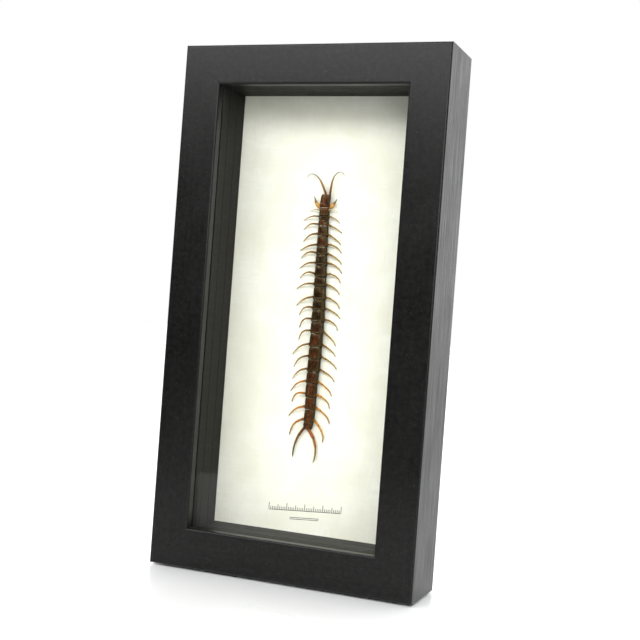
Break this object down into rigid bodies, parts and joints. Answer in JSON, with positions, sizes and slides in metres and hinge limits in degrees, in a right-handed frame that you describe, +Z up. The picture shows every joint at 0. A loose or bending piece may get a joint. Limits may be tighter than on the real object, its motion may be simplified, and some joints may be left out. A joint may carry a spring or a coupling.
{
  "type": "framed giant centipede specimen",
  "caption": "Dried giant centipede laid out on an ivory card behind glass in a deep black wooden box frame that stands upright or hangs.",
  "frame": {"origin": "centre of the foot of the case, half way through its depth with the hanger", "axes": "+Z up, along the case's height and the centipede's body with its head up; the glazed front faces -Y; +X to the right seen from the front"},
  "size_m": [0.14, 0.0382, 0.265],
  "materials": {
    "black_wood": "black satin paint over straight-grained wood",
    "glass": "clear float glass",
    "liner": "black paper over foam board",
    "card": "ivory card with a fine laid texture",
    "back_panel": "smooth brown hardboard",
    "hanger": "zinc-plated steel",
    "shell": "dried reddish-brown chitin with near-black olive margins",
    "leg": "dried amber-brown chitin, darker at the hips and claws",
    "terminal_leg": "dried orange-red chitin",
    "antenna": "dried reddish-brown chitin, pale at the tips",
    "forcipule": "amber chitin with dark claws"
  },
  "bodies": {
    "root": {"rail_left": "black_wood", "rail_right": "black_wood", "rail_top": "black_wood", "rail_bottom": "black_wood", "glass": "glass", "liner": "liner", "card": "card", "back_panel": "back_panel", "hanger": "hanger", "head": "shell", "trunk_front": "shell", "trunk_middle": "shell", "trunk_rear": "shell", "leg_left_01": "leg", "leg_left_02": "leg", "leg_left_03": "leg", "leg_left_04": "leg", "leg_left_05": "leg", "leg_left_06": "leg", "leg_left_07": "leg", "leg_left_08": "leg", "leg_left_09": "leg", "leg_left_10": "leg", "leg_left_11": "leg", "leg_left_12": "leg", "leg_left_13": "leg", "leg_left_14": "leg", "leg_left_15": "leg", "leg_left_16": "leg", "leg_left_17": "leg", "leg_left_18": "leg", "leg_left_19": "leg", "leg_left_20": "leg", "leg_right_01": "leg", "leg_right_02": "leg", "leg_right_03": "leg", "leg_right_04": "leg", "leg_right_05": "leg", "leg_right_06": "leg", "leg_right_07": "leg", "leg_right_08": "leg", "leg_right_09": "leg", "leg_right_10": "leg", "leg_right_11": "leg", "leg_right_12": "leg", "leg_right_13": "leg", "leg_right_14": "leg", "leg_right_15": "leg", "leg_right_16": "leg", "leg_right_17": "leg", "leg_right_18": "leg", "leg_right_19": "leg", "leg_right_20": "leg", "leg_left_21": "terminal_leg", "leg_right_21": "terminal_leg", "antenna_left": "antenna", "antenna_right": "antenna", "forcipule_left": "forcipule", "forcipule_right": "forcipule"}
  },
  "joints": []
}
